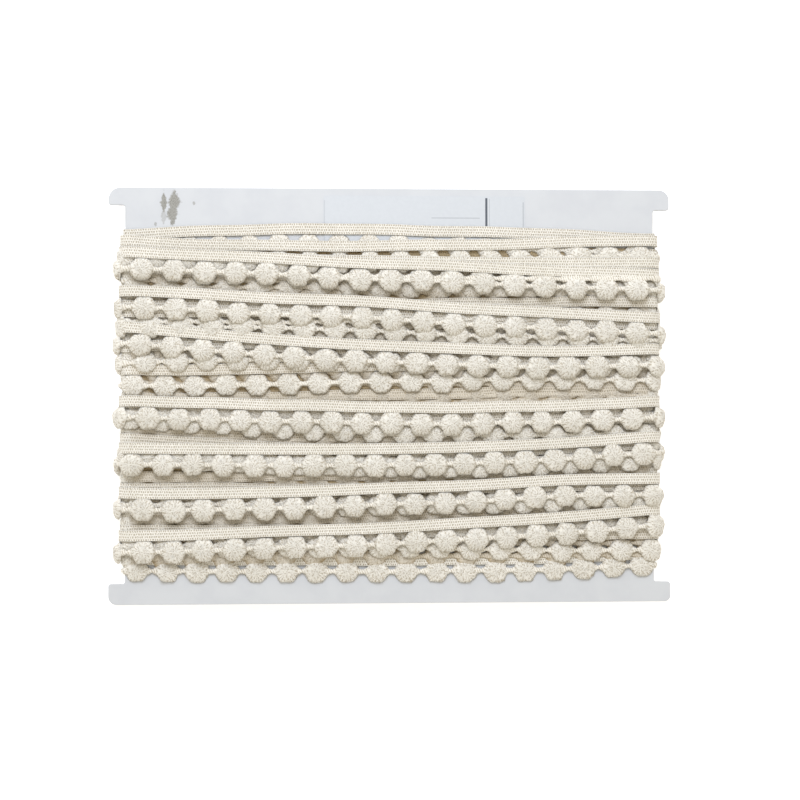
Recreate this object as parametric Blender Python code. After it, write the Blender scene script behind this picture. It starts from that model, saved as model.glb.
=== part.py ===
"""Pompom fringe trim wound on a notched paperboard card, lying on its back.

The trim is a narrow corded heading tape with a domed yarn ball every 16 mm and a thin cord that
links the balls at their middle. The inner turns are one ridged solid. The outer turns, and the two
inner rows that show whole, are separate loops of trim with their gaps cut through. X runs along
the card's width, Y up its face, Z out of its face. The winding's flattened back rests at Z = 0.
"""

import bmesh
import bpy
from math import cos, pi, sin
from mathutils import Vector

MM = 0.001
GAP = 0.3

# Card, in millimetres like every size below
CARD_HALF_WIDTH = 152.5
CARD_HALF_HEIGHT = 112.5
CARD_THICKNESS = 2.4
CARD_MIDDLE_Z = 12.2
NOTCH_HALF_WIDTH = 143.5
NOTCH_CORNER = 1.5
# Ears of the card: x side, y side, height, radius of the outer corner
EARS = (
    (1, 1, 11.1, 5.5),
    (-1, 1, 9.6, 6.5),
    (-1, -1, 11.3, 4.5),
    (1, -1, 10.8, 3.0),
)

# Sticker under the first turns
LABEL_LEFT = -36.5
LABEL_RIGHT = 73.0
LABEL_TOP = 108.4
LABEL_BOTTOM = 80.0
LABEL_THICKNESS = 0.4

# Trim
TAPE_HEIGHT = 6.0
TAPE_THICKNESS = 1.7
BALL_RADIUS = 6.45
BALL_THICKNESS = 5.0
PRESSED_BALL_THICKNESS = 4.3
BALL_DROP = 8.3
BALL_FOOT = 5.95
BALL_FOOT_HALF = 3.3
DOME_INSET = 2.3
ROOT_HALF = 3.9
LINK_HEIGHT = 1.5

# Loops that the trim follows, in section: half the straight stretch, and half the height
OUTER_STRAIGHT = 138.6
OUTER_RISE = 7.2
EDGE_STRAIGHT = NOTCH_HALF_WIDTH
EDGE_RISE = CARD_THICKNESS / 2 + GAP
TROUGH_RISE = 2.6
BEND_STEPS = 5
KNOT_EVERY = 6
KNOT_REACH = 9.0
# Points of a row that lie nearer than this to each other would make slivers
POINT_SPACE = 0.6
# Room for rounding when a point is looked up by its place
SAME_PLACE = 0.05

# Places along X where the height of every row is given, and of every ridge of the core
ROW_PLACES = (-140.6, -47.0, 46.0, 138.8)
RIDGE_PLACES = (-140.6, -17.0, 138.8)

# Outer turns, top to bottom. Heights are the middle of the heading on the front. The last value is
# the height that the turn has reached when it comes round to the left again.
# name, heights at the four places, first ball, ball pitch, next left
OUTER_TURNS = (
    ("row_c", (77.2, 73.0, 69.3, 65.7), -133.9, 16.7, 56.0),
    ("row_d", (56.0, 51.9, 47.1, 42.5), -132.4, 16.6, 36.4),
    ("row_e", (36.4, 29.2, 24.8, 24.6), -134.4, 16.4, -3.2),
    ("row_g", (-3.2, -5.3, -6.6, -3.0), -130.4, 16.3, -28.0),
    ("row_h", (-28.0, -28.9, -27.7, -22.7), -138.9, 16.2, -52.1),
    ("row_i", (-52.1, -51.5, -48.1, -44.6), -133.4, 16.2, -75.3),
    ("row_j", (-75.3, -72.5, -68.8, -62.5), -133.4, 16.3, -90.0),
)
# Where the outer trim's own end is tucked in, on the back of the last turn
TAIL_X = 96.0
# Inner rows whose balls show
# name, heights at the four places, first ball, ball pitch, balls, half length
ROW_F = ("row_f", (14.2, 15.1, 17.1, 16.7), -122.1, 16.6, 16, 142.5)
ROW_K = ("row_k", (-85.5, -86.3, -86.4, -84.4), -137.0, 16.1, 18, 144.2)

# Ridges of the inner turns: height on the card at the three places, and thickness there
CORE_RIDGES = (
    (90.2, 94.4, 89.6, 1.6),
    (88.2, 92.1, 87.8, 2.6),
    (86.8, 88.2, 86.2, 1.8),
    (85.6, 84.2, 85.0, 3.2),
    (82.2, 79.0, 80.8, 3.2),
    (80.4, 77.2, 79.0, 2.4),
    (76.4, 73.4, 75.6, 4.9),
    (73.0, 70.6, 72.2, 4.9),
    (68.6, 66.4, 68.2, 2.4),
    (62.6, 63.2, 64.0, 2.6),
    (59.0, 59.6, 60.4, 5.0),
    (53.6, 54.2, 55.0, 5.0),
    (49.6, 50.0, 50.6, 2.4),
    (45.6, 44.8, 44.4, 2.4),
    (42.0, 41.0, 40.6, 5.0),
    (37.0, 36.0, 35.4, 5.0),
    (33.0, 32.0, 31.4, 2.6),
    (27.6, 26.8, 27.4, 4.6),
    (22.4, 22.8, 23.6, 4.2),
    (19.4, 20.2, 21.4, 0.8),
    (-1.0, 0.6, 1.8, 0.8),
    (-4.0, -2.8, -1.8, 4.2),
    (-12.0, -11.6, -10.6, 2.6),
    (-17.8, -17.6, -16.6, 5.0),
    (-23.4, -23.2, -22.4, 5.0),
    (-28.2, -28.4, -27.4, 2.4),
    (-38.6, -38.4, -37.4, 5.0),
    (-44.4, -44.4, -43.4, 5.0),
    (-50.0, -49.6, -48.6, 2.4),
    (-59.0, -58.6, -58.0, 5.0),
    (-65.0, -64.6, -64.0, 5.0),
    (-70.6, -70.0, -69.6, 2.6),
    (-78.4, -79.2, -78.0, 3.0),
    (-80.6, -82.2, -80.8, 1.6),
)
CORE_SIDE = 145.2
CORE_SHOULDER = 137.0
CORE_HOLE_HALF_WIDTH = NOTCH_HALF_WIDTH + GAP
CORE_ROWS_X = (-80.0, -17.0, 60.0)
CORE_BEND_STEPS = 4

COTTON = (0.80, 0.75, 0.65, 1.0)
BOARD = (0.86, 0.87, 0.89, 1.0)
PAPER = (0.90, 0.90, 0.91, 1.0)


def clear_scene():
    for item in list(bpy.data.objects):
        bpy.data.objects.remove(item, do_unlink=True)


def material(name, colour, roughness):
    made = bpy.data.materials.new(name)
    made.use_nodes = True
    shader = made.node_tree.nodes["Principled BSDF"]
    shader.inputs["Base Color"].default_value = colour
    shader.inputs["Roughness"].default_value = roughness
    shader.inputs["Metallic"].default_value = 0.0
    return made


def rounded(corners, steps=4):
    """The outline through corners given as x, y and radius, with each corner turned as an arc."""
    outline = []
    for place, (x, y, radius) in enumerate(corners):
        corner = Vector((x, y))
        before = (Vector(corners[place - 1][:2]) - corner).normalized()
        after = (Vector(corners[(place + 1) % len(corners)][:2]) - corner).normalized()
        centre = corner + (before + after) * radius
        for step in range(steps + 1):
            turn = pi / 2 * step / steps
            outline.append(centre - after * radius * cos(turn) - before * radius * sin(turn))
    return outline


def flat_plate(name, outline, thickness, middle_z, finish, parts):
    """A sheet cut to an outline, from a filled 2D curve."""
    curve = bpy.data.curves.new(name, "CURVE")
    curve.dimensions = "2D"
    curve.fill_mode = "BOTH"
    curve.extrude = thickness / 2 * MM
    spline = curve.splines.new("POLY")
    spline.points.add(len(outline) - 1)
    for point, place in zip(spline.points, outline):
        point.co = (place.x * MM, place.y * MM, 0, 1)
    spline.use_cyclic_u = True
    curve.materials.append(finish)
    plate = bpy.data.objects.new(name, curve)
    plate.location.z = middle_z * MM
    parts.objects.link(plate)
    return plate


def card_outline():
    """Each side is cut in between its two ears."""
    corners = []
    for side, end, height, radius in EARS:
        ear = [
            (side * NOTCH_HALF_WIDTH, end * (CARD_HALF_HEIGHT - height), NOTCH_CORNER),
            (side * CARD_HALF_WIDTH, end * (CARD_HALF_HEIGHT - height), NOTCH_CORNER),
            (side * CARD_HALF_WIDTH, end * CARD_HALF_HEIGHT, radius),
        ]
        corners += ear if side * end > 0 else ear[::-1]
    return rounded(corners)


def label_outline():
    sides = ((LABEL_LEFT, LABEL_BOTTOM), (LABEL_RIGHT, LABEL_BOTTOM))
    sides += ((LABEL_RIGHT, LABEL_TOP), (LABEL_LEFT, LABEL_TOP))
    return rounded([(x, y, 1.0) for x, y in sides], 2)


def curve_height(x, places, heights):
    """The smooth curve through the heights at those places, level past the first and the last."""
    x = min(max(x, places[0]), places[-1])
    total = 0.0
    for place, height in zip(places, heights):
        for other in places:
            if other != place:
                height *= (x - other) / (place - other)
        total += height
    return total


class Loop:
    """The way that one turn of trim takes round the card. Distance 0 is the middle of the front."""

    def __init__(self, straight, rise, heights, next_left):
        self.straight = straight
        self.rise = rise
        self.heights = heights
        self.next_left = next_left
        self.bend = pi * rise
        self.length = 4 * straight + 2 * self.bend

    def on_bend(self, distance):
        along = (distance + self.straight) % self.length
        side = along % (2 * self.straight + self.bend)
        return side > 2 * self.straight - 1e-6

    def height(self, distance):
        if distance <= self.straight:
            return curve_height(distance, ROW_PLACES, self.heights)
        done = (distance - self.straight - self.bend) / (2 * self.straight)
        done = min(max(done, 0.0), 1.0)
        ease = done * done * (3 - 2 * done)
        return self.heights[-1] * (1 - ease) + self.next_left * ease

    def frame(self, distance):
        """The point in section, the way along and the way out, at a distance along the loop."""
        along = (distance + self.straight) % self.length
        if along < 2 * self.straight:
            return Vector((along - self.straight, 0, self.rise)), Vector((1, 0, 0)), Vector((0, 0, 1))
        along -= 2 * self.straight
        if along < self.bend:
            turn = along / self.rise
            out = Vector((sin(turn), 0, cos(turn)))
            return Vector((self.straight, 0, 0)) + out * self.rise, Vector((cos(turn), 0, -sin(turn))), out
        along -= self.bend
        if along < 2 * self.straight:
            return Vector((self.straight - along, 0, -self.rise)), Vector((-1, 0, 0)), Vector((0, 0, -1))
        turn = (along - 2 * self.straight) / self.rise
        out = Vector((-sin(turn), 0, -cos(turn)))
        return Vector((-self.straight, 0, 0)) + out * self.rise, Vector((-cos(turn), 0, sin(turn))), out


def stations(loop, start, end, centres):
    """Distances at which the heading's lower edge has a point: the balls' roots, and steps on bends."""
    places = [start, end]
    for centre in centres:
        places += [centre - ROOT_HALF, centre + ROOT_HALF]
    step = loop.bend / BEND_STEPS
    for bend_start in (-loop.straight - loop.bend, loop.straight, 3 * loop.straight + loop.bend):
        for count in range(BEND_STEPS + 1):
            place = bend_start + count * step
            near_ball = any(abs(place - centre) < ROOT_HALF + POINT_SPACE for centre in centres)
            near_point = any(abs(place - other) < POINT_SPACE for other in places)
            if start < place < end and not near_ball and not near_point:
                places.append(place)
    return sorted(places)


def flat_trim(mesh, loop, start, end, centres):
    """The trim's flat pattern: heading, balls hung from their roots, and the link between them."""
    low = stations(loop, start, end, centres)
    low_points = [mesh.verts.new((place, -TAPE_HEIGHT / 2, 0)) for place in low]
    top = {}
    for count, place in enumerate(low):
        by_bend = any(loop.on_bend(place + reach) for reach in (-KNOT_REACH, 0, KNOT_REACH))
        if count in (0, len(low) - 1) or count % KNOT_EVERY == 0 or by_bend:
            top[count] = mesh.verts.new((place, TAPE_HEIGHT / 2, 0))
    knots = sorted(top)
    for first, last in zip(knots, knots[1:]):
        mesh.faces.new([top[first], *low_points[first : last + 1], top[last]])

    balls = []
    sides = []
    for centre in centres:
        root = [p for p in low_points if abs(abs(p.co.x - centre) - ROOT_HALF) < SAME_PLACE]
        edge = mesh.edges.get(root)
        levels = (
            (BALL_RADIUS, -BALL_DROP + LINK_HEIGHT / 2),
            (BALL_RADIUS, -BALL_DROP - LINK_HEIGHT / 2),
            (BALL_FOOT_HALF, -BALL_DROP - BALL_FOOT),
        )
        ends = []
        for half, height in levels:
            grown = bmesh.ops.extrude_edge_only(mesh, edges=[edge])["geom"]
            new_edges = [item for item in grown if isinstance(item, bmesh.types.BMEdge)]
            edge = next(item for item in new_edges if all(point in grown for point in item.verts))
            balls.append(next(item for item in grown if isinstance(item, bmesh.types.BMFace)))
            for point in edge.verts:
                point.co = (centre + (half if point.co.x > centre else -half), height, 0)
            ends.append(sorted(edge.verts, key=lambda point: point.co.x))
        sides.append(ends[:2])

    reach = ROOT_HALF + SAME_PLACE
    inner = [place for place in low if not any(abs(place - centre) < reach for centre in centres)]
    for first, last in zip([None, *sides], [*sides, None]):
        chain = []
        if first:
            chain.append([level[1] for level in first])
        left = chain[0][0].co.x if first else start - POINT_SPACE
        right = last[0][0].co.x if last else end + POINT_SPACE
        for place in inner:
            if left + POINT_SPACE / 2 < place < right - POINT_SPACE / 2:
                sides_up = (-BALL_DROP + LINK_HEIGHT / 2, -BALL_DROP - LINK_HEIGHT / 2)
                chain.append([mesh.verts.new((place, height, 0)) for height in sides_up])
        if last:
            chain.append([level[0] for level in last])
        for one, two in zip(chain, chain[1:]):
            mesh.faces.new([one[0], one[1], two[1], two[0]])
    return balls


def trim_row(name, loop, start, end, centres, finish, parts, ball_thickness=BALL_THICKNESS):
    """A length of trim laid along its loop. Balls stay stiff, the tape and the link bend.

    A dome's two points beside each link are brought together, and balls at a bend of the back are
    pressed level with the others, as they are where the winding rests.
    """
    mesh = bmesh.new()
    balls = flat_trim(mesh, loop, start, end, centres)
    for face in balls:
        face.material_index = 1
    bmesh.ops.recalc_face_normals(mesh, faces=mesh.faces)
    raised = bmesh.ops.extrude_face_region(mesh, geom=mesh.faces[:])["geom"]
    points = [item for item in raised if isinstance(item, bmesh.types.BMVert)]
    bmesh.ops.translate(mesh, verts=points, vec=(0, 0, TAPE_THICKNESS))
    bmesh.ops.recalc_face_normals(mesh, faces=mesh.faces)
    domes = [
        face
        for face in mesh.faces
        if face.material_index == 1 and face.normal.z > 0.9 and face.calc_center_median().z > SAME_PLACE
    ]
    bmesh.ops.inset_region(
        mesh,
        faces=domes,
        thickness=DOME_INSET,
        depth=ball_thickness - TAPE_THICKNESS,
        use_even_offset=True,
    )
    for point in mesh.verts:
        if point.co.z > TAPE_THICKNESS + SAME_PLACE and abs(point.co.y + BALL_DROP) < LINK_HEIGHT:
            point.co.y = -BALL_DROP
    bmesh.ops.remove_doubles(mesh, verts=mesh.verts, dist=SAME_PLACE / 5)
    for point in mesh.verts:
        distance, across, out = point.co
        below_tape = across < -TAPE_HEIGHT / 2 - SAME_PLACE
        reach = (BALL_RADIUS if below_tape else ROOT_HALF) + SAME_PLACE
        near = [centre for centre in centres if abs(distance - centre) < reach]
        centre = near[0] if near else distance
        place, along, outward = loop.frame(centre)
        spot = place + along * (distance - centre) + outward * out
        spot.y = loop.height(centre) + across
        spot.z = max(spot.z + CARD_MIDDLE_Z, 0.0)
        point.co = spot * MM
    for face in mesh.faces:
        face.material_index = 0
    bmesh.ops.triangulate(mesh, faces=mesh.faces)
    bmesh.ops.recalc_face_normals(mesh, faces=mesh.faces)
    data = bpy.data.meshes.new(name)
    mesh.to_mesh(data)
    mesh.free()
    data.materials.append(finish)
    row = bpy.data.objects.new(name, data)
    parts.objects.link(row)
    return row


def outer_turns(finish, parts):
    """Each turn runs from its left bend over the front and round the back to the next turn's start."""
    start = None
    for place, (name, heights, first, pitch, next_left) in enumerate(OUTER_TURNS):
        loop = Loop(OUTER_STRAIGHT, OUTER_RISE, heights, next_left)
        centres = [first]
        while centres[0] - pitch > -loop.straight - loop.bend:
            centres.insert(0, centres[0] - pitch)
        if start is None:
            start = centres[0] - pitch / 2
        centres = [centre for centre in centres if centre > start]
        if place == len(OUTER_TURNS) - 1:
            tail = loop.straight * 2 + loop.bend - TAIL_X
            while centres[-1] + pitch * 1.5 < tail:
                centres.append(centres[-1] + pitch)
            end = centres[-1] + pitch / 2
        else:
            while centres[-1] + pitch < loop.straight:
                centres.append(centres[-1] + pitch)
            following = OUTER_TURNS[place + 1][2] + loop.length
            while following - pitch > loop.length - loop.straight - loop.bend:
                following -= pitch
            room = following - centres[-1]
            steps = round(room / pitch)
            even = room / steps
            centres += [centres[-1] + even * (count + 1) for count in range(steps - 1)]
            end = following - even / 2
        trim_row(name, loop, start, end, centres, finish, parts)
        start = end - loop.length + GAP


def inner_rows(finish, parts):
    """Row F lies in a trough of the inner turns, pressed flatter by the turn over it, row K on the card."""
    rows = ((ROW_F, TROUGH_RISE, PRESSED_BALL_THICKNESS), (ROW_K, EDGE_RISE, BALL_THICKNESS))
    for row, rise, ball_thickness in rows:
        name, heights, first, pitch, count, half = row
        loop = Loop(EDGE_STRAIGHT, rise, heights, heights[0])
        centres = [first + pitch * step for step in range(count)]
        trim_row(name, loop, -half, half, centres, finish, parts, ball_thickness)


def core_section(heights, thickness):
    """A ring of points round the card at one ridge: thickness None gives the hole's own ring."""
    rise = CARD_THICKNESS / 2 + GAP + (thickness or 0)
    side = CORE_SIDE if thickness else CORE_HOLE_HALF_WIDTH
    shoulder = CORE_SHOULDER if thickness else CORE_HOLE_HALF_WIDTH
    ring = []
    for x in (-shoulder, *CORE_ROWS_X, shoulder):
        ring.append((x, rise))
    for step in range(1, CORE_BEND_STEPS):
        turn = pi * step / CORE_BEND_STEPS
        ring.append((shoulder + (side - shoulder) * sin(turn), rise * cos(turn)))
    for x in (shoulder, *CORE_ROWS_X[::-1], -shoulder):
        ring.append((x, -rise))
    for step in range(1, CORE_BEND_STEPS):
        turn = pi * step / CORE_BEND_STEPS
        ring.append((-shoulder - (side - shoulder) * sin(turn), -rise * cos(turn)))
    return [Vector((x, curve_height(x, RIDGE_PLACES, heights), CARD_MIDDLE_Z + z)) * MM for x, z in ring]


def winding_core(finish, parts):
    """The inner turns: a sleeve round the card, skinned ring by ring over its ridges."""
    lift = LABEL_THICKNESS + GAP
    top, bottom = CORE_RIDGES[0], CORE_RIDGES[-1]
    rings = [core_section(ridge[:3], ridge[3]) for ridge in CORE_RIDGES]
    label_end = tuple(LABEL_BOTTOM - 1.0 for _ in range(3))
    for heights, clear in ((bottom[:3], 0), (label_end, 0), (label_end, lift), (top[:3], lift)):
        ring = core_section(heights, None)
        for point in ring:
            if point.z > CARD_MIDDLE_Z * MM:
                point.z += clear * MM
        rings.append(ring)
    mesh = bmesh.new()
    points = [mesh.verts.new(place) for place in rings[0]]
    first = [mesh.edges.new((one, two)) for one, two in zip(points, points[1:] + points[:1])]
    edges = first
    for ring in rings[1:]:
        grown = bmesh.ops.extrude_edge_only(mesh, edges=edges)["geom"]
        new_points = [item for item in grown if isinstance(item, bmesh.types.BMVert)]
        edges = [
            item
            for item in grown
            if isinstance(item, bmesh.types.BMEdge) and all(point in new_points for point in item.verts)
        ]
        links = {}
        for new in new_points:
            for edge in new.link_edges:
                other = edge.other_vert(new)
                if other in points:
                    links[other] = new
        points = [links[old] for old in points]
        for point, place in zip(points, ring):
            point.co = place
    bmesh.ops.bridge_loops(mesh, edges=edges + first)
    bmesh.ops.triangulate(mesh, faces=mesh.faces)
    bmesh.ops.recalc_face_normals(mesh, faces=mesh.faces)
    if mesh.calc_volume(signed=True) < 0:
        bmesh.ops.reverse_faces(mesh, faces=mesh.faces)
    data = bpy.data.meshes.new("winding_core")
    mesh.to_mesh(data)
    mesh.free()
    data.materials.append(finish)
    core = bpy.data.objects.new("winding_core", data)
    parts.objects.link(core)
    return core


def main():
    clear_scene()
    parts = bpy.data.collections.new("pompom_trim_on_card")
    bpy.context.scene.collection.children.link(parts)
    cotton = material("cotton yarn", COTTON, 0.9)
    board = material("white board", BOARD, 0.7)
    paper = material("label paper", PAPER, 0.5)
    flat_plate("card", card_outline(), CARD_THICKNESS, CARD_MIDDLE_Z, board, parts)
    label_z = CARD_MIDDLE_Z + CARD_THICKNESS / 2 + GAP + LABEL_THICKNESS / 2
    flat_plate("label", label_outline(), LABEL_THICKNESS, label_z, paper, parts)
    winding_core(cotton, parts)
    outer_turns(cotton, parts)
    inner_rows(cotton, parts)


main()
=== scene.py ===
# %% [markdown]
# # Ball fringe wound on a card
#
# Shops keep narrow trimming on a flat card and cut it off by the yard. The card has two notched
# sides, and the trimming is wound round it in flat turns that lie over each other like roof tiles.
# This trimming is a ball fringe in undyed cotton. It has three parts: a corded heading tape that is
# sewn on, a row of round yarn balls that hang from it, and a thin link cord that joins the balls.
#
# The solids of the frame give the size and the place of every turn. Here each turn is made again
# with its yarn: ribs, picks, strands and twist.

# %% Load the frame
import random
from collections import namedtuple
from math import atan2, cos, pi, radians, sin

import bmesh
import bpy
from mathutils import Matrix, Vector


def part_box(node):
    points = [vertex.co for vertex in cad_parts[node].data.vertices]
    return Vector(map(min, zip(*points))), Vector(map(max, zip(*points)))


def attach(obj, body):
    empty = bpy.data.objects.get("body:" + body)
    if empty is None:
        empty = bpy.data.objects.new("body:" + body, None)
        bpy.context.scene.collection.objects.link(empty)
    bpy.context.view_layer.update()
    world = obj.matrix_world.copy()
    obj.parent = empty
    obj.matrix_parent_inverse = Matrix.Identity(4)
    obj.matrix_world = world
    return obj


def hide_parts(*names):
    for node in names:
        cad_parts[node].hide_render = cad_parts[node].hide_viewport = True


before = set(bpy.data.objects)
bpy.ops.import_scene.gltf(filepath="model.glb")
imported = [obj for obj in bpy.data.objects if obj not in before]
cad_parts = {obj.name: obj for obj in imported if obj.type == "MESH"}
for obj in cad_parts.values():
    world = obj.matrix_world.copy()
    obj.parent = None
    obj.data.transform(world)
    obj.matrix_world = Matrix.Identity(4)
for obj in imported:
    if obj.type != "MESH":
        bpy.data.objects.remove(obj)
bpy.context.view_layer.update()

MM = 0.001

# %% [markdown]
# ## Shader sums in Python
#
# A material is a graph of nodes, and a graph that is built by hand soon gets long. Two small
# classes keep it short. A Finish is one material, and its node method makes any node. A Signal is
# a socket of it that can be added and multiplied like a number, so that a rule such as
# `1 - valley * 0.4` makes its own Math nodes. Colours go through Mix nodes, because a Math node
# would turn them grey.

# %% Finish and Signal


class Signal:
    """An output socket that takes part in sums."""

    def __init__(self, finish, socket):
        self.finish = finish
        self.socket = socket

    def math(self, operation, *others):
        inputs = dict(enumerate((self, *others)))
        return self.finish.node("ShaderNodeMath", {"operation": operation}, inputs)

    def __add__(self, other):
        return self.math("ADD", other)

    def __mul__(self, other):
        return self.math("MULTIPLY", other)

    def __sub__(self, other):
        return self.math("SUBTRACT", other)

    def __rsub__(self, other):
        return self.finish.node("ShaderNodeMath", {"operation": "SUBTRACT"}, {0: other, 1: self})

    __radd__ = __add__
    __rmul__ = __mul__

    def between(self, low, high):
        """0 below low, 1 above high, and a soft step from one to the other."""
        settings = {"interpolation_type": "SMOOTHSTEP"}
        inputs = {"Value": self, "From Min": low, "From Max": high}
        return self.finish.node("ShaderNodeMapRange", settings, inputs)


class Finish:
    """One material with its steady values set on the shader itself."""

    def __init__(self, name, **steady):
        self.material = bpy.data.materials.new(name)
        self.material.use_nodes = True
        self.tree = self.material.node_tree
        self.shader = self.tree.nodes["Principled BSDF"]
        for socket, value in steady.items():
            self.shader.inputs[socket.replace("_", " ")].default_value = value

    def put(self, socket, value):
        if isinstance(value, Signal):
            self.tree.links.new(value.socket, socket)
        else:
            socket.default_value = value

    def node(self, kind, settings, inputs, output=0):
        made = self.tree.nodes.new(kind)
        for setting, value in settings.items():
            setattr(made, setting, value)
        for socket, value in inputs.items():
            self.put(made.inputs[socket], value)
        return Signal(self, made.outputs[output])

    def blend(self, share, first, second):
        """The colour first where share is 0 and second where it is 1."""
        inputs = {0: share, 6: first, 7: second}
        return self.node("ShaderNodeMix", {"data_type": "RGBA"}, inputs, 2)

    def place(self):
        """Object coordinates in millimetres, as a vector and its three parts."""
        found = self.node("ShaderNodeTexCoord", {}, {}, "Object")
        scaled = self.node("ShaderNodeVectorMath", {"operation": "SCALE"}, {0: found, "Scale": 1 / MM})
        return scaled, *self.parts(scaled)

    def trim_place(self):
        """The trimming's own map: millimetres along and across, as a vector and its parts."""
        found = self.node("ShaderNodeUVMap", {"uv_map": "trim"}, {})
        along, across, _ = self.parts(found)
        return found, along, across

    def parts(self, vector):
        split = self.tree.nodes.new("ShaderNodeSeparateXYZ")
        self.put(split.inputs[0], vector)
        return tuple(Signal(self, socket) for socket in split.outputs)

    def noise(self, place, scale, detail=2.0, roughness=0.5):
        inputs = {"Vector": place, "Scale": scale, "Detail": detail, "Roughness": roughness}
        return self.node("ShaderNodeTexNoise", {}, inputs)

    def surface(self, colour, roughness, height, depth, strength=1.0):
        """Feeds the shader. depth is how far the height reaches, in metres."""
        bump = self.node("ShaderNodeBump", {}, {"Height": height, "Distance": depth, "Strength": strength})
        self.put(self.shader.inputs["Base Color"], colour)
        self.put(self.shader.inputs["Roughness"], roughness)
        self.put(self.shader.inputs["Normal"], bump)
        return self.material


print("shader tools ready")

# %% [markdown]
# ## Cotton yarn
#
# The yarn is undyed cotton. Its strands are pale cream, and the light that gets between them comes
# back brown, so the dips between strands are given a darker, warmer tone as well as a bump. A slow
# noise over the whole winding makes some lengths a little greyer than others, as in any batch of
# cotton. All three parts of the trimming share this, and differ in how their strands run.
#
# Deep between the turns the light has been from yarn to yarn many times, and each time it loses
# more blue than red. A renderer would need dozens of bounces for that, so yarn that lies close to
# the card is made browner instead, but not where it goes round the card's edge. Only the first two
# rows and the last one lie there in full light, and they take a finish without it.

# %% Cotton colours
COTTON_LIGHT = (0.945, 0.91, 0.83, 1.0)
COTTON_GREY = (0.885, 0.85, 0.765, 1.0)
# Painted shade for the dips between strands, where little light gets in
COTTON_DIP_SHADE = (0.36, 0.28, 0.16, 1.0)
# Painted shade for yarn deep between the turns. Below: distances from the card's middle, in millimetres,
# where it is full, where its deep part ends and where its fainter part ends
COTTON_DEEP_SHADE = (0.45, 0.33, 0.165, 1.0)
DEEP_BELOW = 2.5
DEEP_ABOVE = 3.5
SHADE_ABOVE = 7.0
BEND_START = 139.5
FIBRE_SCALE = 1.3
BATCH_SCALE = 0.045
card_low, card_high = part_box("card")
CARD_THICKNESS = (card_high.z - card_low.z) / MM
CARD_MIDDLE_Z = (card_high.z + card_low.z) / 2 / MM


def cotton(name, strands, depth, shaded):
    """A yarn finish. strands takes the finish and gives how high the yarn stands, from 0 to 1."""
    finish = Finish(name, Sheen_Weight=0.25, Sheen_Roughness=0.6, Specular_IOR_Level=0.25)
    spot, x, _, z = finish.place()
    fibres = finish.noise(spot, FIBRE_SCALE, 3.0, 0.65)
    batch = finish.noise(spot, BATCH_SCALE, 1.0).between(0.35, 0.65)
    height = strands(finish) * 0.6 + fibres.between(0.32, 0.68) * 0.4
    dip = 1 - height.between(0.12, 0.62)
    colour = finish.blend(batch * 0.8, COTTON_LIGHT, COTTON_GREY)
    # Painted shade: yarn that lies close to the card is browned, less so where it goes round the card's
    # edge
    if shaded:
        past_edge = (x.math("ABSOLUTE") - BEND_START).math("MAXIMUM", 0.0)
        out = (z - CARD_MIDDLE_Z).math("ABSOLUTE") + past_edge * 1.5
        deep = 1 - out.between(DEEP_BELOW, DEEP_ABOVE)
        shade = 1 - out.between(DEEP_BELOW, SHADE_ABOVE)
        colour = finish.blend(deep * 0.5 + shade * 0.4, colour, COTTON_DEEP_SHADE)
    # Painted shade: the dips between strands and the holes of the weave are darkened and browned
    colour = finish.blend(dip * 0.68, colour, COTTON_DIP_SHADE)
    return finish.surface(colour, 0.85 + dip * 0.1, height, depth)


# %% [markdown]
# The heading tape is woven: fat cords run along it, and a fine yarn goes round them all in picks
# that leave small holes between the cords. The map gives millimetres across the tape, so the cosine
# of that makes the cords. A sine along it makes the picks, and the holes step by half a pick from
# one line to the next. They could be modelled, but there are ten thousand of them, each finer than a
# millimetre, so bump does that job while the cords are real shape.

# %% Heading finish
RIB_SPACING = 1.5
PICK_SPACING = 1.25


def heading_strands(finish):
    spot, along, across = finish.trim_place()
    drift = finish.noise(spot, 0.5) * 1.2
    rib = (across * (2 * pi / RIB_SPACING)).math("COSINE") * 0.5 + 0.5
    valley = (across * (1 / RIB_SPACING) + 0.5).math("ROUND")
    turns = along * (1 / PICK_SPACING) + valley * 0.5 + drift
    pick = (turns * (2 * pi)).math("SINE") * 0.5 + 0.5
    hole = (1 - rib.between(0.2, 0.95)) * (1 - pick.between(0.15, 0.75))
    return 0.5 + rib * 0.12 + pick * 0.22 - hole * 0.85


# %% [markdown]
# A ball is a bundle of yarn that is tied at its middle, so its strands run out from the centre like
# the spokes of a wheel. The map of a ball is flat, with its origin at the centre. Every point of it
# is drawn out to a circle round the centre before a noise is read there, and so the noise hardly
# changes along a strand and changes fast from one to the next. Close to the centre the strands
# stand on end, and only their tips show.

# %% Ball finish
STRAND_CIRCLE = 4.6
STRAND_SCALE = 1.4
TIP_SCALE = 1.25
CENTRE_RADIUS = 2.4


def ball_strands(finish):
    spot, _, _ = finish.trim_place()
    radius = finish.node("ShaderNodeVectorMath", {"operation": "LENGTH"}, {0: spot}, "Value")
    way = finish.node("ShaderNodeVectorMath", {"operation": "NORMALIZE"}, {0: spot})
    right, up, _ = finish.parts(way)
    circle = {0: right * STRAND_CIRCLE, 1: up * STRAND_CIRCLE, 2: radius * 0.4}
    strand = finish.noise(finish.node("ShaderNodeCombineXYZ", {}, circle), STRAND_SCALE, 2.0, 0.6)
    tips = finish.noise(spot, TIP_SCALE, 2.0, 0.6)
    outside = radius.between(CENTRE_RADIUS * 0.4, CENTRE_RADIUS)
    share = outside * 0.75
    return strand.between(0.40, 0.57) * share + tips.between(0.38, 0.56) * (1 - share)


# %% [markdown]
# The link is a thin two-ply cord. Slanted bands along it are its twist.

# %% Link finish
PLY_SPACING = 1.3


def link_strands(finish):
    _, along, across = finish.trim_place()
    turns = along * (1 / PLY_SPACING) + across * 0.6
    return (turns * (2 * pi)).math("SINE") * 0.35 + 0.5


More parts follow.
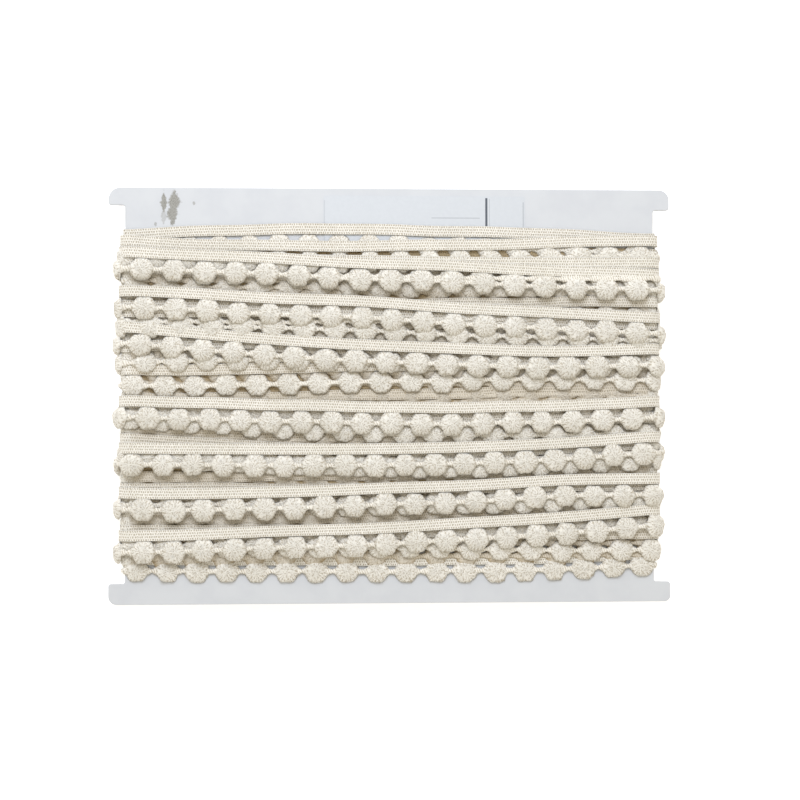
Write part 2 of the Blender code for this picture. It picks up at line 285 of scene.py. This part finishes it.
def trim_finishes(title, shaded):
    return (
        cotton("heading " + title, heading_strands, 0.4 * MM, shaded),
        cotton("ball " + title, ball_strands, 0.4 * MM, shaded),
        cotton("link " + title, link_strands, 0.3 * MM, shaded),
    )


# The first set has painted shade deep between the turns; the second, for rows in full light, has none
WOUND_COTTON = trim_finishes("cotton", True)
EDGE_COTTON = trim_finishes("cotton at the edges", False)
HEADING, BALL, LINK = range(3)
print("cotton finishes:", [finish.name for finish in WOUND_COTTON + EDGE_COTTON])

# %% [markdown]
# ## The way of a turn
#
# Each turn goes over the front of the card, round its right edge, back behind it, and round its
# left edge, where the next turn begins a little lower. Seen from an end that is a flat loop: two
# straight runs and two half circles. A turn's place is given by the distance along that loop, with
# 0 at the middle of the front, and by how far a point lies across the tape and out from the card.
#
# The turns lie on each other in tiers. The under tier is wound tight on the card and hides it, the
# low and middle tiers lie on that, and the outer tier is the one that shows whole. One tucked turn
# has slipped half under it, and two proud ones lie low with balls that stand up past it. The first
# turn at the top and the last one at the bottom lie on the bare card, and the balls of the last one
# are pushed up under its heading.

# %% The loop
# How far the balls' middles hang below the middle of the heading
BALL_DROP = 8.7
Tier = namedtuple("Tier", "straight rise ball_height drop", defaults=(BALL_DROP,))
EDGE = Tier(142.6, 1.5, 3.2)
LAST = Tier(142.6, 1.5, 3.2, 6.0)
UNDER = Tier(143.0, 1.5, 2.3)
LOW = Tier(142.4, 2.5, 2.9)
MIDDLE = Tier(141.4, 4.0, 3.2)
PROUD = Tier(141.0, 4.4, 4.9)
TUCKED = Tier(139.6, 6.4, 1.6)
OUTER = Tier(138.9, 7.2, 5.2)

# Places along the card where the height of a row is given
ROW_PLACES = (-140.6, -47.0, 46.0, 138.8)


def row_height(x, heights):
    """The smooth curve through a row's four heights, level past its ends."""
    x = min(max(x, ROW_PLACES[0]), ROW_PLACES[-1])
    total = 0.0
    for place, height in zip(ROW_PLACES, heights):
        for other in ROW_PLACES:
            if other != place:
                height *= (x - other) / (place - other)
        total += height
    return total


class Turn:
    """One turn of the trimming and the way that it takes."""

    def __init__(self, name, tier, heights, next_left):
        self.name = name
        self.tier = tier
        self.heights = heights
        self.next_left = next_left
        self.bend = pi * tier.rise
        self.length = 4 * tier.straight + 2 * self.bend
        waves = random.Random(name)
        self.waves = [(waves.uniform(25, 90), waves.uniform(0, 2 * pi)) for _ in range(3)]

    def wander(self, distance):
        """Hand winding is never quite straight: a small drift that dies out at the turn's ends."""
        room = min(distance - self.start, self.end - distance)
        fade = min(max(room / 15.0, 0.0), 1.0)
        return fade * sum(sin(distance / length * pi + phase) for length, phase in self.waves) / 3

    def height(self, distance):
        if distance <= self.tier.straight:
            return row_height(distance, self.heights)
        done = (distance - self.tier.straight - self.bend) / (2 * self.tier.straight)
        done = min(max(done, 0.0), 1.0)
        ease = done * done * (3 - 2 * done)
        return self.heights[-1] * (1 - ease) + self.next_left * ease

    def section(self, distance):
        """The point of the loop, the way along it and the way out of it."""
        straight, rise = self.tier[:2]
        along = (distance + straight) % self.length
        if along < 2 * straight:
            return Vector((along - straight, 0, rise)), Vector((1, 0, 0)), Vector((0, 0, 1))
        along -= 2 * straight
        if along < self.bend:
            turn = along / rise
            out = Vector((sin(turn), 0, cos(turn)))
            return Vector((straight, 0, 0)) + out * rise, Vector((cos(turn), 0, -sin(turn))), out
        along -= self.bend
        if along < 2 * straight:
            return Vector((straight - along, 0, -rise)), Vector((-1, 0, 0)), Vector((0, 0, -1))
        turn = (along - 2 * straight) / rise
        out = Vector((-sin(turn), 0, -cos(turn)))
        return Vector((-straight, 0, 0)) + out * rise, Vector((-cos(turn), 0, sin(turn))), out

    def spot(self, distance, across, out, centre=None):
        """The place in space of a point of the trimming, stiff about centre where that is given."""
        centre = distance if centre is None else centre
        point, along, outward = self.section(centre)
        place = point + along * (distance - centre) + outward * out
        place.y = self.height(centre) + WANDER * self.wander(centre) + across
        place.z = max(place.z + CARD_MIDDLE_Z, 0.0)
        return place * MM


WANDER = 0.45
print("outer turn:", round(Turn("trial", OUTER, (0, 0, 0, 0), 0).length), "mm round")

# %% [markdown]
# ## Heading tape and link cord
#
# Both are long strips with one section all the way. A curve with a bevel would do, but its section
# turns as it likes on the bends, and it carries no map in millimetres. So each is a flat grid, as
# long as the turn and as wide as the way round the section. The grid is rolled up: its two long
# edges meet and are merged, and both ends are filled.

# %% Strips
TAPE_HALF_HEIGHT = 3.0
TAPE_BASE = 0.95
RIB_HEIGHT = 0.07
TAPE_STEP = 2.0
LINK_RADIUS = 0.78
LINK_OUT = 1.3
LINK_SIDES = 6
LINK_STEP = 2.06
# The link spreads where its yarn goes into a ball: how near the ball's middle, and how much
FLARE_START = 9.0
FLARE_END = 6.0
FLARE = 1.7


def tape_section():
    """Across and out for each point round the tape: ribs in front, flat behind."""
    front = [-TAPE_HALF_HEIGHT + 0.5 * count for count in range(13)]
    ring = [(across, TAPE_BASE + RIB_HEIGHT * cos(2 * pi * across / RIB_SPACING)) for across in front]
    return ring + [(1.8, 0.0), (0.0, 0.0), (-1.8, 0.0)]


def link_section():
    ring = []
    for side in range(LINK_SIDES):
        angle = -2 * pi * side / LINK_SIDES
        ring.append((LINK_RADIUS * cos(angle), LINK_OUT + LINK_RADIUS * sin(angle)))
    return ring


def link_width(turn, distance):
    """How many times as wide as usual the link is, as it comes up to a ball."""
    nearest = min(abs(distance - centre) for centre in turn.balls)
    share = (FLARE_START - nearest) / (FLARE_START - FLARE_END)
    return 1 + FLARE * min(max(share, 0.0), 1.0) ** 2


def rolled_strip(mesh, turn, section, step, drop, slot):
    """A grid rolled up into a strip with that section, drop millimetres below the heading."""
    steps = round((turn.end - turn.start) / step)
    made = bmesh.ops.create_grid(mesh, x_segments=steps, y_segments=len(section), size=1.0)
    layer = mesh.loops.layers.uv["trim"]
    strip = set(made["verts"])
    faces = {face for point in strip for face in point.link_faces}
    flat = {}
    for point in strip:
        share_x, share_y = (point.co.x + 1) / 2, (point.co.y + 1) / 2
        distance = turn.start + (turn.end - turn.start) * share_x
        flat[point] = (distance, section[round(share_y * len(section)) % len(section)])
    for face in faces:
        face.material_index = slot
        face.smooth = True
        for loop in face.loops:
            distance, (across, _) = flat[loop.vert]
            loop[layer].uv = (distance, across)
    for point, (distance, (across, out)) in flat.items():
        width = link_width(turn, distance) if slot == LINK else 1.0
        point.co = turn.spot(distance, across * width - drop, out)
    bmesh.ops.remove_doubles(mesh, verts=list(strip), dist=0.001 * MM)
    edges = {edge for face in faces for edge in face.edges}
    bmesh.ops.holes_fill(mesh, edges=[edge for edge in edges if edge.is_boundary], sides=0)


print("tape section:", len(tape_section()), "points")

# %% [markdown]
# ## Balls
#
# A ball is a low dome, flat behind, 13 mm across. Its outline is spun round from a short profile,
# and then roughened point by point, because no yarn ball is cut quite even. There are over a
# thousand, so they come from eight patterns of a few dozen faces each: four for the turns that show
# whole, and four with fewer sides for the turns behind. Their strands are in the finish.

# %% Ball patterns
BALL_PROFILE = ((5.6, 0.0), (6.7, 0.28), (5.8, 0.66), (3.4, 0.92), (0.0, 1.0))
FULL_SIDES = 24
PLAIN_SIDES = 14
ROUGHNESS = 0.032
PATTERNS = 4


def ball_pattern(name, steps, choice):
    """One ball about the origin, a unit high, with its map in millimetres from its centre."""
    mesh = bmesh.new()
    profile = [mesh.verts.new((radius, 0, out)) for radius, out in BALL_PROFILE]
    edges = [mesh.edges.new(pair) for pair in zip(profile, profile[1:])]
    geometry = profile + edges
    bmesh.ops.spin(
        mesh, geom=geometry, axis=(0, 0, 1), cent=(0, 0, 0), angle=2 * pi, steps=steps, use_merge=True
    )
    bmesh.ops.remove_doubles(mesh, verts=mesh.verts, dist=0.01)
    bmesh.ops.holes_fill(mesh, edges=[edge for edge in mesh.edges if edge.is_boundary], sides=0)
    bmesh.ops.recalc_face_normals(mesh, faces=mesh.faces)
    layer = mesh.loops.layers.uv.new("trim")
    for point in mesh.verts:
        radial, raised = choice.gauss(1, ROUGHNESS), choice.gauss(1, ROUGHNESS * 1.5)
        point.co.x *= radial
        point.co.y *= radial
        point.co.z *= raised
    for face in mesh.faces:
        face.material_index = BALL
        face.smooth = True
        for loop in face.loops:
            loop[layer].uv = loop.vert.co.xy
    pattern = bpy.data.meshes.new(name)
    mesh.to_mesh(pattern)
    mesh.free()
    return pattern


draw = random.Random(7)
FULL_BALLS = [ball_pattern(f"full_ball_{n}", FULL_SIDES, draw) for n in range(PATTERNS)]
PLAIN_BALLS = [ball_pattern(f"plain_ball_{n}", PLAIN_SIDES, draw) for n in range(PATTERNS)]
print("ball faces:", len(FULL_BALLS[0].polygons), "and", len(PLAIN_BALLS[0].polygons))

# %% [markdown]
# ## One turn of trimming
#
# The balls hang from the heading by their top strands, so their upper rim lies flat under the
# tape's lower edge while the rest stands proud of it. The link pulls each ball out a little to both
# sides, which makes it six-sided. Each is turned, tilted, shifted and sized a little by chance.
# Where the trimming goes round the card's edge a ball is pressed thin and bends half way with it.

# %% A ball and a turn
TUCK_START = 3.4
TUCK_END = 5.4
TUCK_HEIGHT = 0.22
SIX_SIDED = 0.045
DRAWN_OUT = 0.025
EDGE_PRESS = 0.2
BALL_GIVE = 0.5


def hang_ball(mesh, turn, centre, patterns, chance):
    before = len(mesh.verts)
    mesh.from_mesh(chance.choice(patterns))
    mesh.verts.ensure_lookup_table()
    spin = chance.uniform(0, 2 * pi)
    size = chance.uniform(0.92, 1.0)
    tilt_x, tilt_y = chance.gauss(0, 0.05), chance.gauss(0, 0.05)
    shift_x, shift_y = chance.uniform(-0.35, 0.35), chance.uniform(-0.45, 0.3)
    _, _, outward = turn.section(centre)
    tall = turn.tier.ball_height * chance.uniform(0.9, 1.05) * (1 - EDGE_PRESS * abs(outward.x))
    six = chance.gauss(SIX_SIDED, 0.012)
    for point in mesh.verts[before:]:
        x, y, out = point.co
        right = x * cos(spin) - y * sin(spin)
        up = x * sin(spin) + y * cos(spin)
        angle = atan2(up, right)
        swell = size * (1 + six * cos(6 * angle) + DRAWN_OUT * cos(2 * angle))
        right, up = right * swell, up * swell
        tuck = min(max((up - TUCK_START) / (TUCK_END - TUCK_START), 0.0), 1.0)
        out *= tall * (1 - tuck + tuck * TUCK_HEIGHT) + right * tilt_x + up * tilt_y
        distance, across = centre + shift_x + right, up + shift_y - turn.tier.drop
        stiff = turn.spot(distance, across, out, centre)
        bent = turn.spot(distance, across, out)
        bent.y = stiff.y
        point.co = stiff.lerp(bent, BALL_GIVE)


def wind(turn, patterns, finishes, stands_for):
    """Makes the piece for one turn, and hides the solid that it stands for.

    The balls come first, while the mesh has had nothing merged: a new point then always goes at the
    end of the list, and a ball's points are those after the last one that was there.
    """
    mesh = bmesh.new()
    mesh.loops.layers.uv.new("trim")
    chance = random.Random(turn.name)
    for centre in turn.balls:
        hang_ball(mesh, turn, centre, patterns, chance)
    rolled_strip(mesh, turn, tape_section(), TAPE_STEP, 0.0, HEADING)
    rolled_strip(mesh, turn, link_section(), LINK_STEP, turn.tier.drop, LINK)
    data = bpy.data.meshes.new(turn.name)
    mesh.to_mesh(data)
    mesh.free()
    for finish in finishes:
        data.materials.append(finish)
    piece = bpy.data.objects.new(turn.name, data)
    bpy.context.scene.collection.objects.link(piece)
    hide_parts(stands_for)
    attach(piece, "root")
    return piece


# %% [markdown]
# ## The rows
#
# The tables give each row as it shows on the front: the height of its heading at four places from
# left to right, the place of its first ball, and the space from ball to ball. A row's back is worked
# out: it leaves at the right height, and comes round at the left height of the row that follows in
# its tier. The balls of the back are spaced evenly to meet the next row's balls.

# %% Row tables
Row = namedtuple("Row", "name heights first_ball pitch stands_for")
OUTER_ROWS = (
    Row("turn_c", (77.2, 73.0, 69.3, 65.7), -133.9, 16.7, "row_c"),
    Row("turn_d", (56.0, 51.9, 47.0, 42.2), -132.4, 16.6, "row_d"),
    Row("turn_e", (36.4, 29.2, 24.8, 24.9), -134.4, 16.4, "row_e"),
    Row("turn_g", (-3.2, -5.3, -6.6, -3.0), -130.4, 16.3, "row_g"),
    Row("turn_h", (-28.0, -28.9, -27.7, -22.7), -138.9, 16.2, "row_h"),
    Row("turn_i", (-52.1, -51.5, -48.1, -45.0), -133.4, 16.2, "row_i"),
    Row("turn_j", (-75.3, -72.5, -68.8, -62.0), -133.4, 16.3, "row_j"),
)
MIDDLE_ROWS = (
    Row("turn_d2", (48.5, 48.4, 49.8, 51.4), -130.8, 16.5, "winding_core"),
    Row("turn_f", (14.2, 15.1, 17.2, 16.7), -138.7, 16.6, "row_f"),
    Row("turn_g1", (-3.6, -9.6, -12.7, -12.0), -140.2, 16.3, "winding_core"),
    Row("turn_h1", (-23.1, -28.5, -30.0, -26.3), -131.2, 16.3, "winding_core"),
    Row("turn_i2", (-49.8, -50.3, -49.9, -48.6), -134.6, 15.85, "winding_core"),
    Row("turn_j2", (-72.5, -72.5, -74.2, -75.7), -138.2, 16.45, "winding_core"),
)
TUCKED_ROW = (Row("turn_c1", (76.4, 73.2, 72.0, 72.0), -133.9, 16.6, "winding_core"),)
PROUD_ROWS = (
    Row("turn_e1", (45.2, 44.6, 41.5, 38.5), -129.7, 16.5, "winding_core"),
    Row("turn_f1", (26.2, 28.0, 25.5, 25.0), -132.2, 16.4, "winding_core"),
)
LOW_ROWS = (
    Row("turn_d1", (66.6, 67.1, 67.4, 67.8), -137.6, 16.5, "winding_core"),
    Row("turn_d0", (34.5, 33.0, 32.4, 35.2), -134.7, 16.2, "winding_core"),
    Row("turn_e2", (27.9, 27.4, 28.0, 28.5), -133.7, 16.35, "winding_core"),
    Row("turn_g0", (-2.0, -0.5, 1.5, 4.0), -139.0, 16.3, "winding_core"),
    Row("turn_h0", (-20.8, -21.8, -21.0, -18.5), -135.0, 16.2, "winding_core"),
    Row("turn_i1", (-43.8, -43.2, -42.2, -41.4), -137.0, 16.3, "winding_core"),
    Row("turn_j1", (-65.6, -64.8, -63.4, -61.0), -141.0, 16.2, "winding_core"),
)
SECOND_ROW = (Row("turn_b", (83.2, 80.8, 82.0, 84.5), -142.9, 16.4, "winding_core"),)
TOP_ROW = (Row("turn_a", (86.8, 90.2, 89.2, 85.7), -141.2, 16.15, "winding_core"),)
BOTTOM_ROW = (Row("turn_k", (-88.2, -88.8, -89.0, -86.6), -137.0, 16.1, "row_k"),)
UNDER_COUNT = 26
UNDER_TOP = 77.0
UNDER_STEP = 6.2


def under_rows():
    """Evenly wound rows, each shifted a little from the one above."""
    rows = []
    for count in range(UNDER_COUNT):
        height = UNDER_TOP - UNDER_STEP * count
        first_ball = -140.0 + draw.uniform(-4, 4)
        rows.append(Row(f"turn_under_{count}", (height,) * 4, first_ball, 16.4, "winding_core"))
    return rows


WOUND = (
    (OUTER, OUTER_ROWS, -90.0, WOUND_COTTON),
    (TUCKED, TUCKED_ROW, 70.0, WOUND_COTTON),
    (PROUD, PROUD_ROWS, 20.0, WOUND_COTTON),
    (MIDDLE, SECOND_ROW, 50.0, EDGE_COTTON),
    (MIDDLE, MIDDLE_ROWS, -84.0, WOUND_COTTON),
    (LOW, LOW_ROWS, -80.0, WOUND_COTTON),
    (EDGE, TOP_ROW, 80.0, EDGE_COTTON),
    (LAST, BOTTOM_ROW, -88.0, EDGE_COTTON),
    (UNDER, under_rows(), -80.0, WOUND_COTTON),
)
# How far the trimming's two ends run on along the back, past the left edge or short of it
LEAD_IN = 70.0
TAIL = 235.0


def lay_turns(tier, rows, last_height):
    """The turns of one tier with their starts, ends and balls, each joined to the next."""
    turns = []
    for place, row in enumerate(rows):
        following = rows[place + 1] if place + 1 < len(rows) else None
        next_left = following.heights[0] if following else last_height
        turn = Turn(row.name, tier, row.heights, next_left)
        edge = tier.straight + turn.bend
        first = row.first_ball
        while first - row.pitch > -edge - (LEAD_IN if place == 0 else 0):
            first -= row.pitch
        turn.balls = [first]
        while turn.balls[-1] + row.pitch < tier.straight:
            turn.balls.append(turn.balls[-1] + row.pitch)
        if following:
            meets = following.first_ball
            while meets - following.pitch > -edge:
                meets -= following.pitch
            room = meets + turn.length - turn.balls[-1]
            even = room / round(room / row.pitch)
            last = turn.balls[-1]
            turn.balls += [last + even * count for count in range(1, round(room / row.pitch))]
        else:
            even = row.pitch
            while turn.balls[-1] + even < turn.length - tier.straight - turn.bend - TAIL:
                turn.balls.append(turn.balls[-1] + even)
        turn.start = turns[-1].end - turns[-1].length if turns else first - row.pitch / 2
        turn.end = turn.balls[-1] + even / 2
        turns.append(turn)
    return turns


trim_length = 0.0
ball_count = 0
for tier, rows, last_height, finishes in WOUND:
    for turn, row in zip(lay_turns(tier, rows, last_height), rows):
        shows_whole = tier is OUTER or row.stands_for != "winding_core"
        wind(turn, FULL_BALLS if shows_whole else PLAIN_BALLS, finishes, row.stands_for)
        trim_length += turn.end - turn.start
        ball_count += len(turn.balls)
print("trimming:", round(trim_length / 1000, 2), "m with", ball_count, "balls")

# %% [markdown]
# ## Card
#
# The card is thick white board, die-cut, with an ear at each corner and the long notched sides
# between them. One outline is filled, pushed up to the board's thickness, and its edges are broken
# with a small bevel, as a press leaves them. The cut edges have a finish of their own, because
# there the grey layers inside the board show.

# %% Card outline
CARD_HALF_WIDTH = card_high.x / MM
CARD_HALF_HEIGHT = card_high.y / MM
NOTCH_DEPTH = 9.0
NOTCH_CORNER = 1.5
# Ears of the card: x side, y side, height, radius of the outer corner
EARS = (
    (1, 1, 11.1, 5.5),
    (-1, 1, 9.6, 6.5),
    (-1, -1, 11.3, 4.5),
    (1, -1, 10.8, 3.0),
)
EDGE_BEVEL = 0.3


def rounded(corners, steps=6):
    """The outline through corners given as x, y and radius, with each corner turned as an arc."""
    outline = []
    for place, (x, y, radius) in enumerate(corners):
        corner = Vector((x, y))
        before = (Vector(corners[place - 1][:2]) - corner).normalized()
        after = (Vector(corners[(place + 1) % len(corners)][:2]) - corner).normalized()
        centre = corner + (before + after) * radius
        for step in range(steps + 1):
            turn = pi / 2 * step / steps
            outline.append(centre - after * radius * cos(turn) - before * radius * sin(turn))
    return outline


def card_outline():
    corners = []
    for side, end, height, radius in EARS:
        notch = side * (CARD_HALF_WIDTH - NOTCH_DEPTH)
        ear = [
            (notch, end * (CARD_HALF_HEIGHT - height), NOTCH_CORNER),
            (side * CARD_HALF_WIDTH, end * (CARD_HALF_HEIGHT - height), NOTCH_CORNER),
            (side * CARD_HALF_WIDTH, end * CARD_HALF_HEIGHT, radius),
        ]
        corners += ear if side * end > 0 else ear[::-1]
    return rounded(corners)


def sheet_piece(name, outline, low_z, high_z, bevel, finishes, stands_for):
    """A flat sheet with broken edges. The second finish, if there is one, is for its cut edge."""
    mesh = bmesh.new()
    ring = [mesh.verts.new((place.x * MM, place.y * MM, low_z * MM)) for place in outline]
    base = mesh.faces.new(ring)
    grown = bmesh.ops.extrude_face_region(mesh, geom=[base])["geom"]
    risen = [item for item in grown if isinstance(item, bmesh.types.BMVert)]
    bmesh.ops.translate(mesh, verts=risen, vec=(0, 0, (high_z - low_z) * MM))
    bmesh.ops.recalc_face_normals(mesh, faces=mesh.faces)
    rims = [edge for edge in mesh.edges if abs(edge.verts[0].co.z - edge.verts[1].co.z) < 1e-6]
    bmesh.ops.bevel(
        mesh, geom=rims, offset=bevel * MM, segments=2, profile=0.5, affect="EDGES", material=-1
    )
    for face in mesh.faces:
        face.smooth = abs(face.normal.z) < 0.99
        face.material_index = 1 if len(finishes) > 1 and abs(face.normal.z) < 0.3 else 0
    data = bpy.data.meshes.new(name)
    mesh.to_mesh(data)
    mesh.free()
    for finish in finishes:
        data.materials.append(finish)
    piece = bpy.data.objects.new(name, data)
    bpy.context.scene.collection.objects.link(piece)
    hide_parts(stands_for)
    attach(piece, "root")
    return piece


# %% [markdown]
# The board's face is a smooth, cool white with a faint cloudiness. Handling has left marks: at its
# upper left two leaf-shaped patches where the top paper is torn off and the grey board shows, and a
# few specks. Each patch is a diamond in the board's own millimetres, with its rim made ragged by
# noise. Painting them as geometry would need cuts thinner than paper.

# %% Board finishes
BOARD_WHITE = (0.625, 0.64, 0.66, 1.0)
BOARD_CLOUD = (0.595, 0.61, 0.635, 1.0)
TORN_DARK = (0.23, 0.225, 0.20, 1.0)
TORN_PALE = (0.40, 0.39, 0.36, 1.0)
BOARD_CORE = (0.52, 0.51, 0.49, 1.0)
# Torn patches: middle x and y, half width and half height, in millimetres, and how deep
TORN_PATCHES = (
    (-122.8, 104.2, 2.0, 6.0, 0.95),
    (-122.9, 97.2, 1.8, 5.4, 0.4),
    (-117.2, 104.6, 3.6, 6.8, 0.95),
    (-118.2, 98.0, 3.3, 6.8, 0.95),
)
SPECKS = ((-106.6, 103.9, 0.8), (-127.2, 92.6, 0.8))


def board_face():
    finish = Finish("board face", Specular_IOR_Level=0.4)
    spot, x, y, _ = finish.place()
    cloud = finish.noise(spot, 0.06, 3.0, 0.6).between(0.35, 0.7)
    grain = finish.noise(spot, 1.8, 3.0, 0.6)
    ragged = finish.noise(spot, 0.8, 4.0, 0.75) * 1.6 - 0.8
    torn = None
    for middle_x, middle_y, half_width, half_height, deep in TORN_PATCHES:
        across = ((x - middle_x) * (1 / half_width)).math("ABSOLUTE")
        up = ((y - middle_y) * (1 / half_height)).math("ABSOLUTE")
        patch = (1 - (across + up + ragged).between(0.8, 1.1)) * deep
        torn = patch if torn is None else torn.math("MAXIMUM", patch)
    for middle_x, middle_y, radius in SPECKS:
        across = (x - middle_x) * (1 / radius)
        up = (y - middle_y) * (0.6 / radius)
        speck = 1 - (across * across + up * up + ragged * 2).between(0.5, 1.0)
        torn = torn.math("MAXIMUM", speck * 0.6)
    white = finish.blend(cloud, BOARD_WHITE, BOARD_CLOUD)
    fibres = finish.blend(grain.between(0.3, 0.7), TORN_DARK, TORN_PALE)
    colour = finish.blend(torn, white, fibres)
    height = grain * 0.25 + (1 - torn) * (0.75 + grain * 0.1)
    return finish.surface(colour, 0.5 + torn * 0.4 + grain * 0.1, height, 0.08 * MM)


def board_edge():
    finish = Finish("board edge", Specular_IOR_Level=0.2)
    spot, x, y, z = finish.place()
    stretch = finish.node("ShaderNodeCombineXYZ", {}, {0: x * 0.3, 1: y * 0.3, 2: z * 4.0})
    layers = finish.noise(stretch, 0.8, 3.0, 0.6)
    colour = finish.blend(layers, BOARD_CORE, BOARD_CLOUD)
    return finish.surface(colour, 0.85 + layers * 0.1, layers, 0.15 * MM)


card_low_z = CARD_MIDDLE_Z - CARD_THICKNESS / 2
card_high_z = CARD_MIDDLE_Z + CARD_THICKNESS / 2
card = sheet_piece(
    "notched_card", card_outline(), card_low_z, card_high_z, EDGE_BEVEL,
    (board_face(), board_edge()), "card",
)
print("card faces:", len(card.data.polygons))

# %% [markdown]
# ## Sticker
#
# A paper sticker lies under the first turns and shows above them. It is left blank but for the
# ruled lines that such a form has: a thick bar between two fields, a line to write on, and the thin
# line at the right that closes the last field. Along its left edge a faint grey line is painted as
# the shadow of the sticker's raised edge. The lines are bands in the sticker's own
# millimetres, so they stay sharp at any distance.

# %% Sticker
STICKER_THICKNESS = 0.25
STICKER_PAPER = (0.60, 0.625, 0.655, 1.0)
STICKER_SHADE = (0.585, 0.61, 0.64, 1.0)
PRINT_AND_SHADOW_GREY = (0.05, 0.06, 0.08, 1.0)
label_low, label_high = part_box("label")
LABEL_LEFT = label_low.x / MM
# Ruled lines and the painted edge shadow: left, right, bottom and top edge, and how dark
RULED_LINES_AND_EDGE_SHADOW = (
    (51.4, 52.6, 70.0, 107.6, 0.95),
    (53.5, 53.8, 70.0, 107.2, 0.3),
    (72.0, 72.3, 70.0, 105.4, 0.6),
    (22.0, 48.4, 96.5, 96.8, 0.5),
    # Not a ruled line: painted shadow along the sticker's left edge
    (LABEL_LEFT, LABEL_LEFT + 0.6, 70.0, 106.0, 0.14),
)


def sticker_paper():
    finish = Finish("sticker paper", Specular_IOR_Level=0.5)
    spot, x, y, _ = finish.place()
    fibre = finish.noise(spot, 0.5, 2.0)
    ink_and_shadow = None
    for left, right, bottom, top, dark in RULED_LINES_AND_EDGE_SHADOW:
        beside = ((x - (left + right) / 2).math("ABSOLUTE") - (right - left) / 2).between(-0.08, 0.08)
        above = ((y - (bottom + top) / 2).math("ABSOLUTE") - (top - bottom) / 2).between(-0.08, 0.08)
        line = (1 - beside) * (1 - above) * dark
        ink_and_shadow = line if ink_and_shadow is None else ink_and_shadow.math("MAXIMUM", line)
    paper = finish.blend(fibre.between(0.3, 0.7), STICKER_PAPER, STICKER_SHADE)
    colour = finish.blend(ink_and_shadow, paper, PRINT_AND_SHADOW_GREY)
    return finish.surface(colour, 0.38 + fibre * 0.12, fibre, 0.03 * MM)


label_sides = (
    (label_low.x, label_low.y), (label_high.x, label_low.y),
    (label_high.x, label_high.y), (label_low.x, label_high.y),
)
sticker_outline = rounded([(x / MM, y / MM, 1.0) for x, y in label_sides], 3)
sticker = sheet_piece(
    "paper_sticker", sticker_outline, card_high_z + 0.02, card_high_z + 0.02 + STICKER_THICKNESS, 0.04,
    (sticker_paper(),), "label",
)
print("sticker:", [round(x / MM) for x in (label_high - label_low).xy], "mm")

# %% [markdown]
# ## Floor, light and camera
#
# The card lies on a plain white table and is seen from straight above. A warm white world gives
# the soft light from all sides that a light tent gives. One large, cooler lamp past the card's upper
# edge gives it a side, so that every ball and every tape drops a soft shadow below itself. The two
# together are neutral on the board, and where the lamp doesn't reach the shade is warm.

# %% Table
FLOOR_SIZE = 6.0
FLOOR_WHITE = (0.9, 0.9, 0.9, 1.0)
FLOOR_SHADE = (0.885, 0.885, 0.885, 1.0)


def table_top():
    mesh = bmesh.new()
    bmesh.ops.create_grid(mesh, x_segments=4, y_segments=4, size=FLOOR_SIZE / 2)
    data = bpy.data.meshes.new("table_top")
    mesh.to_mesh(data)
    mesh.free()
    finish = Finish("white table", Emission_Color=(1, 1, 1, 1), Emission_Strength=0.45)
    spot, *_ = finish.place()
    cloud = finish.noise(spot, 0.01)
    finish.surface(finish.blend(cloud, FLOOR_WHITE, FLOOR_SHADE), 0.7 + cloud * 0.1, cloud, 0.01 * MM)
    data.materials.append(finish.material)
    top = bpy.data.objects.new("table_top", data)
    bpy.context.scene.collection.objects.link(top)


table_top()

# %% Light
WORLD_STRENGTH = 0.756
WORLD_COLOUR = (1.0, 0.952, 0.848, 1.0)
LAMP_PLACE = Vector((-0.12, 0.62, 0.98))
LAMP_SIZE = 0.55
LAMP_POWER = 9.0
LAMP_COLOUR = (0.81, 0.87, 1.0)


def light():
    world = bpy.data.worlds.new("light tent")
    world.use_nodes = True
    world.node_tree.nodes["Background"].inputs["Color"].default_value = WORLD_COLOUR
    world.node_tree.nodes["Background"].inputs["Strength"].default_value = WORLD_STRENGTH
    bpy.context.scene.world = world
    lamp_data = bpy.data.lights.new("large lamp", "AREA")
    lamp_data.shape = "SQUARE"
    lamp_data.size = LAMP_SIZE
    lamp_data.energy = LAMP_POWER
    lamp_data.color = LAMP_COLOUR
    lamp = bpy.data.objects.new("large_lamp", lamp_data)
    lamp.location = LAMP_PLACE
    lamp.rotation_euler = LAMP_PLACE.to_track_quat("Z", "Y").to_euler()
    bpy.context.scene.collection.objects.link(lamp)


light()
bpy.context.scene.view_settings.view_transform = "Standard"

# %% Camera
CAMERA_TARGET = Vector((4.7, -2.4, 13.4)) * MM
CAMERA_DISTANCE = 0.95
FRAME_WIDTH = 0.4343
CAMERA_YAW = radians(3.1)
CAMERA_PITCH = radians(0.85)
CAMERA_ROLL = radians(-0.1)


def camera():
    data = bpy.data.cameras.new("camera")
    data.lens = data.sensor_width * CAMERA_DISTANCE / FRAME_WIDTH
    back = Vector((-sin(CAMERA_YAW), -sin(CAMERA_PITCH), cos(CAMERA_YAW))).normalized()
    right = Vector((0, 1, 0)).cross(back).normalized()
    up = back.cross(right)
    axes = Matrix((right, up, back)).transposed().to_4x4()
    made = bpy.data.objects.new("camera", data)
    bpy.context.scene.collection.objects.link(made)
    place = Matrix.Translation(CAMERA_TARGET + back * CAMERA_DISTANCE)
    made.matrix_world = place @ axes @ Matrix.Rotation(CAMERA_ROLL, 4, "Z")
    bpy.context.scene.camera = made


camera()
print("camera is", CAMERA_DISTANCE, "m away")
